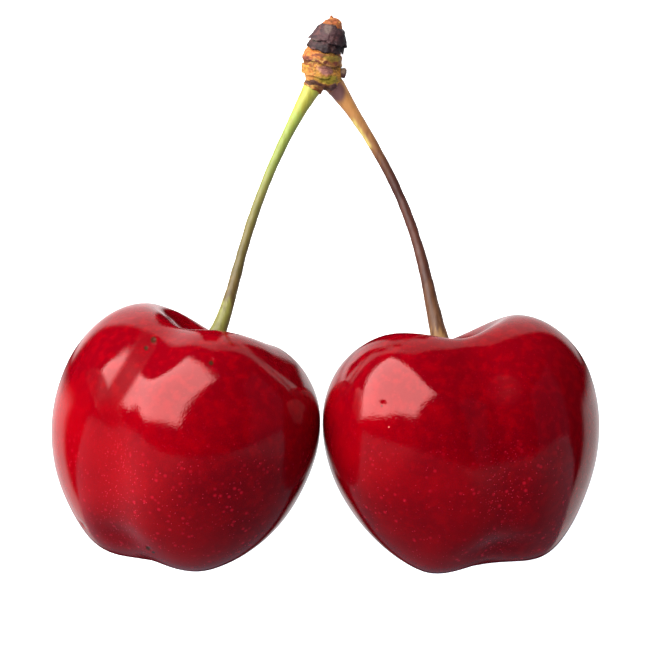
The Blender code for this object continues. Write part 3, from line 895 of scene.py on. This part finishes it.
def collar(curve, size):
    """The end of a stalk that has grown into the knob, in the spur's own place."""
    start, end, thin, thick = size
    top = Vector(curve[3])
    along = (top - Vector(curve[2])).normalized()
    bpy.ops.object.select_all(action="DESELECT")
    bpy.ops.mesh.primitive_cone_add(
        vertices=40, radius1=thin * MM, radius2=thick * MM, depth=(end - start) * MM
    )
    obj = bpy.context.object
    turn = along.to_track_quat("Z", "Y").to_matrix().to_4x4()
    middle = (top + along * (start + end) / 2) * MM
    settle(obj, spur_place().inverted() @ Matrix.Translation(middle) @ turn)
    return obj


def knob(name, look):
    """The woody knob of the spur: a ring extruded and narrowed up its leaning axis."""
    bpy.ops.object.select_all(action="DESELECT")
    heights = [row[0] for row in SPUR_PROFILE[1:-1]]
    fill = up_the_spur(KNOB_FILL, heights)
    radii = [row[1] + more for row, more in zip(SPUR_PROFILE[1:-1], fill)]
    bpy.ops.mesh.primitive_circle_add(
        vertices=KNOB_AROUND, radius=radii[0] * MM, fill_type="NGON",
        location=(0, 0, heights[0] * MM),
    )
    obj = bpy.context.object
    bpy.ops.object.transform_apply()
    bpy.ops.object.mode_set(mode="EDIT")
    bpy.ops.mesh.select_all(action="SELECT")
    for below, above, before, after in zip(heights, heights[1:], radii, radii[1:]):
        ratio = (after / before) ** (1 / KNOB_STEPS)
        for _ in range(KNOB_STEPS):
            bpy.ops.mesh.extrude_region_move(
                TRANSFORM_OT_translate={"value": (0, 0, (above - below) / KNOB_STEPS * MM)}
            )
            bpy.ops.transform.resize(value=(ratio, ratio, 1.0), center_override=(0, 0, above * MM))
    bpy.ops.mesh.select_all(action="SELECT")
    bpy.ops.mesh.normals_make_consistent(inside=False)
    bpy.ops.object.mode_set(mode="OBJECT")
    settle(obj, Matrix.Diagonal((1.0, SPUR_DEPTH, 1.0, 1.0)))
    bow(obj)
    collars = [
        collar(LEFT_STALK["curve"], LEFT_COLLAR), collar(RIGHT_STALK["curve"], RIGHT_COLLAR),
    ]
    only(obj)
    for part in collars:
        part.select_set(True)
    bpy.ops.object.join()
    finish_with(obj, "REMESH", mode="VOXEL", voxel_size=KNOB_VOXEL * MM)
    finish_with(obj, "SMOOTH", factor=0.5, iterations=3)
    lumps = []
    for (turn, height), depth, reach in KNOB_LUMPS:
        angle = math.radians(turn)
        out = Vector((math.cos(angle), math.sin(angle), 0.0))
        aside = Vector((float(up_the_spur(SPUR_BOW, height)), 0.0, height))
        spot = out * float(up_the_spur(SPUR_PROFILE, height)) + aside
        lumps.append((spot, out * depth, reach))
    for spot, move, reach in (*lumps, KNOB_SPIKE):
        gap = np.linalg.norm(points_of(obj) / MM - np.array(spot), axis=1)
        pull(obj, gap < gap.min() + 1e-6, move, reach)
    settle(obj, LAID @ spur_place())
    roughen(obj, *BARK_LUMPS)
    roughen(obj, *BARK_CRACKS)
    hand_over(obj, name, look, "spur")


def scale(name, size, look):
    """A dried bud scale: a thin sheet wrapped round the spur, folded, with a torn lower edge.

    A grid's points are put straight on the wrapped surface, because no bend gives the torn edge.
    """
    bpy.ops.object.select_all(action="DESELECT")
    bpy.ops.mesh.primitive_grid_add(
        x_subdivisions=SCALE_COLUMNS, y_subdivisions=SCALE_ROWS, size=2.0
    )
    obj = bpy.context.object
    across, down = points_of(obj)[:, :2].T
    share = 0.5 * (1.0 - down)
    tears = np.interp(across, np.linspace(-1.0, 1.0, len(size["tears"])), size["tears"])
    edge = 1.0 - SCALE_ROUND * across**2 - 0.6 * tears * share
    height = size["top"] + (size["bottom"] - size["top"]) * share * edge
    height += 0.5 * size["rise"] * across
    width = 1.0 - SCALE_NARROW * share**3
    angle = np.radians(size["turn"] + 0.5 * size["span"] * across * width)
    tucked = np.maximum(1.0 - share / SCALE_TUCK, 0.0) ** 2
    tucked += np.maximum(np.abs(across) - 0.9, 0.0) * 6.0
    folds = np.sin(9.0 * angle + 2.0 * height) + 0.7 * np.sin(17.0 * angle - 1.3 * height)
    radius = up_the_spur(SPUR_PROFILE, height) + size["gap"] + SCALE_THICKNESS
    radius += size["flare"] * share**2
    radius += SCALE_FOLDS * folds * share - (size["gap"] + 0.12) * tucked
    placed = np.stack([
        radius * np.cos(angle) + up_the_spur(SPUR_BOW, height),
        radius * np.sin(angle) * SPUR_DEPTH,
        height,
    ], axis=1)
    obj.data.vertices.foreach_set("co", (placed * MM).ravel())
    finish_with(obj, "SOLIDIFY", thickness=SCALE_THICKNESS * MM, offset=-1.0)
    finish_with(obj, "SUBSURF", levels=1, render_levels=1)
    settle(obj, LAID @ spur_place())
    roughen(obj, *BARK_LUMPS)
    roughen(obj, *(BARK_CRACKS if size["dark"] else TAN_CRACKS))
    hand_over(obj, name, look, size["node"])


def stub(name, look):
    """The stub of an old bud: a lump that stands out of the side of the spur, broken off flat."""
    bpy.ops.object.select_all(action="DESELECT")
    bpy.ops.mesh.primitive_uv_sphere_add(segments=40, ring_count=28, radius=MM)
    obj = bpy.context.object
    across, along, out = STUB_SIZE
    resize(obj, np.ones(len(obj.data.vertices)), (across * 1.1, along * 1.05, out * 1.5))
    swell(obj, points_of(obj)[:, 2] > 0.3 * MM, (1.15, 1.15, 0.5), (0, 0, 0.3), 0.4)
    turn = stub_out().to_track_quat("Z", "Y").to_matrix().to_4x4()
    middle = stub_centre() - stub_out() * 0.12
    settle(obj, LAID @ spur_place() @ Matrix.Translation(middle * MM) @ turn)
    roughen(obj, *BARK_CRACKS)
    hand_over(obj, name, look, "side_stub")


# Settings

def colour(name, description, code):
    """A colour that a user may change."""
    return bpy.props.FloatVectorProperty(
        name=name, description=description, subtype="COLOR", size=3, min=0.0, max=1.0,
        default=linear(code)[:3],
    )


def brightness(name, description, default, unit="NONE"):
    """A strength of light that a user may change."""
    return bpy.props.FloatProperty(
        name=name, description=description, unit=unit, min=0.0, default=default
    )


class FruitSettings(bpy.types.PropertyGroup):
    """The skin of both cherries"""
    bright_red: colour("Bright red", "Colour of the skin where it is least ripe", "#7a0006")
    # Deep red is also the colour of the painted shade on each cherry's right side.
    deep_red: colour("Deep red", "Colour of the skin where it is ripest", "#580006")
    blot_red: colour("Blot red", "Colour of the soft blots under the skin", "#a80c20")
    lenticel: colour("Lenticel", "Colour of the pale specks", "#c8283e")
    roughness: bpy.props.FloatProperty(
        name="Roughness", description="How blurred the skin's reflections are",
        min=0.0, max=1.0, default=0.07,
    )
    pore_depth: bpy.props.FloatProperty(
        name="Pore depth", description="Depth of the pores that stipple a highlight's edge",
        unit="LENGTH", min=0.0, default=0.010 * MM,
    )


class StageSettings(bpy.types.PropertyGroup):
    """The light and the camera"""
    floor_glow: brightness("Floor glow", "How brightly the lit floor shines by itself", 0.9)
    key_power: brightness("Key power", "Power of the softbox at the upper left", 3.35, "POWER")
    side_power: brightness("Side power", "Power of the dim softbox at the right", 0.05, "POWER")
    card_left: brightness("Card glow at the left", "Brightness of the card past the tips", 0.75)
    card_right: brightness("Card glow at the right", "Brightness of the card past the tips", 0.55)
    card_shade: brightness("Card shade", "Its brightness in the cherries' shade", 0.20)
    card_bounce: brightness("Card bounce", "How much soft light it throws on the tips", 1.55)
    camera_distance: bpy.props.FloatProperty(
        name="Camera distance", description="From the lens to the middle of the pair",
        unit="LENGTH", min=0.1, default=0.5,
    )


# Operators

class CHERRIES_OT_fruits(bpy.types.Operator):
    """Shapes the two cherries"""
    bl_idname = "cherries.fruits"
    bl_label = "Cherries"

    def execute(self, context):
        look = skin_finish(context.scene.fruit_settings)
        fruit("left_fruit", "left_cherry", LEFT_FRUIT, LEFT_MARKS, look)
        fruit("right_fruit", "right_cherry", RIGHT_FRUIT, RIGHT_MARKS, look)
        return {"FINISHED"}


class CHERRIES_OT_stalks(bpy.types.Operator):
    """Sweeps the two stalks"""
    bl_idname = "cherries.stalks"
    bl_label = "Stalks"

    def execute(self, context):
        stalk(
            "green_stem", "left_stalk", LEFT_STALK,
            stalk_finish("green_stalk_skin", GREEN_ALONG, (0.0, 0.01, "#a6a05a")),
        )
        stalk(
            "red_stem", "right_stalk", RIGHT_STALK,
            stalk_finish("red_stalk_skin", RED_ALONG, (0.83, 0.93, "#a6914e")),
        )
        return {"FINISHED"}


class CHERRIES_OT_spur(bpy.types.Operator):
    """Shapes the woody knob"""
    bl_idname = "cherries.spur"
    bl_label = "Spur"

    def execute(self, context):
        knob("woody_knob", bark_finish("young_bark", BARK_BANDS, BARK_STAINS, BARK_MOTTLES, 0.7))
        return {"FINISHED"}


class CHERRIES_OT_scales(bpy.types.Operator):
    """Wraps the dried bud scales round the spur"""
    bl_idname = "cherries.scales"
    bl_label = "Bud scales"

    def execute(self, context):
        # The dark scales carry a painted shade on their right side and a painted highlight on their
        # upper left.
        dark = bark_finish("dark_bud_scale", DARK_BANDS, DARK_SHADE_AND_SHEEN, DARK_MOTTLES, 0.6)
        tan = bark_finish("tan_bud_scale", BARK_BANDS, BARK_STAINS, BARK_MOTTLES, 0.65)
        for name, size in SCALES.items():
            scale(name, size, dark if size["dark"] else tan)
        return {"FINISHED"}


class CHERRIES_OT_stub(bpy.types.Operator):
    """Shapes the stub at the side of the spur"""
    bl_idname = "cherries.stub"
    bl_label = "Stub"

    def execute(self, context):
        stub("old_bud_stub", bark_finish("stub_bark", STUB_BANDS, STUB_STAINS, DARK_MOTTLES, 0.7))
        return {"FINISHED"}


def softbox(name, size, power, tint):
    """A soft rectangular light in its place, that shines at the middle of the pair."""
    middle, across, up, width, height = size
    lamp = bpy.data.lights.new(name, "AREA")
    lamp.shape = "RECTANGLE"
    lamp.size = width
    lamp.size_y = height
    lamp.energy = power
    lamp.color = tint
    obj = bpy.data.objects.new(name, lamp)
    bpy.context.scene.collection.objects.link(obj)
    x = Vector(across).normalized()
    z = x.cross(Vector(up)).normalized()
    if z.dot(Vector(middle)) < 0:
        x, z = -x, -z
    y = z.cross(x)
    turn = Matrix((x, y, z)).transposed().to_4x4()
    obj.matrix_world = LAID @ Matrix.Translation(Vector(middle)) @ turn
    obj.visible_camera = False


class CHERRIES_OT_stage(bpy.types.Operator):
    """Sets the floor, the lights and the camera"""
    bl_idname = "cherries.stage"
    bl_label = "Stage"

    def execute(self, context):
        settings = context.scene.stage_settings
        bpy.ops.object.select_all(action="DESELECT")
        bpy.ops.mesh.primitive_plane_add(size=FLOOR_SIZE, location=(0.0, 0.0, -0.05 * MM))
        floor = bpy.context.object
        floor.name = "pale_floor"
        floor.data.materials.append(floor_finish(settings))
        softbox("key_softbox", KEY_SOFTBOX, settings.key_power, (1.0, 1.0, 1.0))
        softbox("side_softbox", SIDE_SOFTBOX, settings.side_power, (0.8, 0.6, 1.0))

        bpy.ops.object.select_all(action="DESELECT")
        bpy.ops.mesh.primitive_plane_add(size=1.0)
        card = bpy.context.object
        card.name = "tip_card"
        bpy.ops.transform.resize(value=(*CARD_SIZE, 1.0))
        bpy.ops.object.transform_apply()
        settle(card, LAID @ Matrix.Translation(CARD_PLACE))
        card.data.materials.append(card_finish(settings))
        card.visible_camera = False

        world = bpy.data.worlds.new("studio")
        context.scene.world = world
        world.use_nodes = True
        sky = world.node_tree
        sky.nodes.clear()
        seen = node(sky, "LightPath", out="Is Camera Ray")
        tint = node(sky, "Mix", {0: seen, 6: linear("#020202"), 7: linear("#ffffff")}, **COLOURS)
        back = node(sky, "Background", {"Color": tint})
        node(sky, "OutputWorld", {"Surface": back})

        lens = bpy.data.cameras.new("camera")
        camera = bpy.data.objects.new("camera", lens)
        context.scene.collection.objects.link(camera)
        tip = math.radians(CAMERA_TIP)
        away = Vector((0.0, -math.cos(tip), math.sin(tip))) * settings.camera_distance
        aim = (-away).to_track_quat("-Z", "Z").to_matrix().to_4x4()
        camera.matrix_world = LAID @ Matrix.Translation(away) @ aim
        lens.sensor_width = SENSOR_WIDTH
        lens.lens = SENSOR_WIDTH * settings.camera_distance / SEEN_WIDTH
        lens.clip_start = 0.01
        lens.clip_end = 20.0
        context.scene.camera = camera
        context.scene.view_settings.view_transform = "Standard"
        return {"FINISHED"}


class CHERRIES_PT_panel(bpy.types.Panel):
    """Lists the steps that build the pair"""
    bl_idname = "CHERRIES_PT_panel"
    bl_label = "Cherries on Stalks"
    bl_space_type = "VIEW_3D"
    bl_region_type = "UI"
    bl_category = "Cherries"

    def draw(self, context):
        for step in STEPS:
            self.layout.operator(step.bl_idname)


STEPS = (
    CHERRIES_OT_fruits, CHERRIES_OT_stalks, CHERRIES_OT_spur, CHERRIES_OT_scales,
    CHERRIES_OT_stub, CHERRIES_OT_stage,
)
CLASSES = (FruitSettings, StageSettings, *STEPS, CHERRIES_PT_panel)


def register():
    for cls in CLASSES:
        bpy.utils.register_class(cls)
    bpy.types.Scene.fruit_settings = bpy.props.PointerProperty(type=FruitSettings)
    bpy.types.Scene.stage_settings = bpy.props.PointerProperty(type=StageSettings)


def unregister():
    del bpy.types.Scene.stage_settings
    del bpy.types.Scene.fruit_settings
    for cls in reversed(CLASSES):
        bpy.utils.unregister_class(cls)


def main():
    """Builds every piece and the stage."""
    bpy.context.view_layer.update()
    register()
    bpy.ops.object.select_all(action="DESELECT")
    bpy.ops.cherries.fruits()
    bpy.ops.cherries.stalks()
    bpy.ops.cherries.spur()
    bpy.ops.cherries.scales()
    bpy.ops.cherries.stub()
    bpy.ops.cherries.stage()


if __name__ == "__main__":
    main()
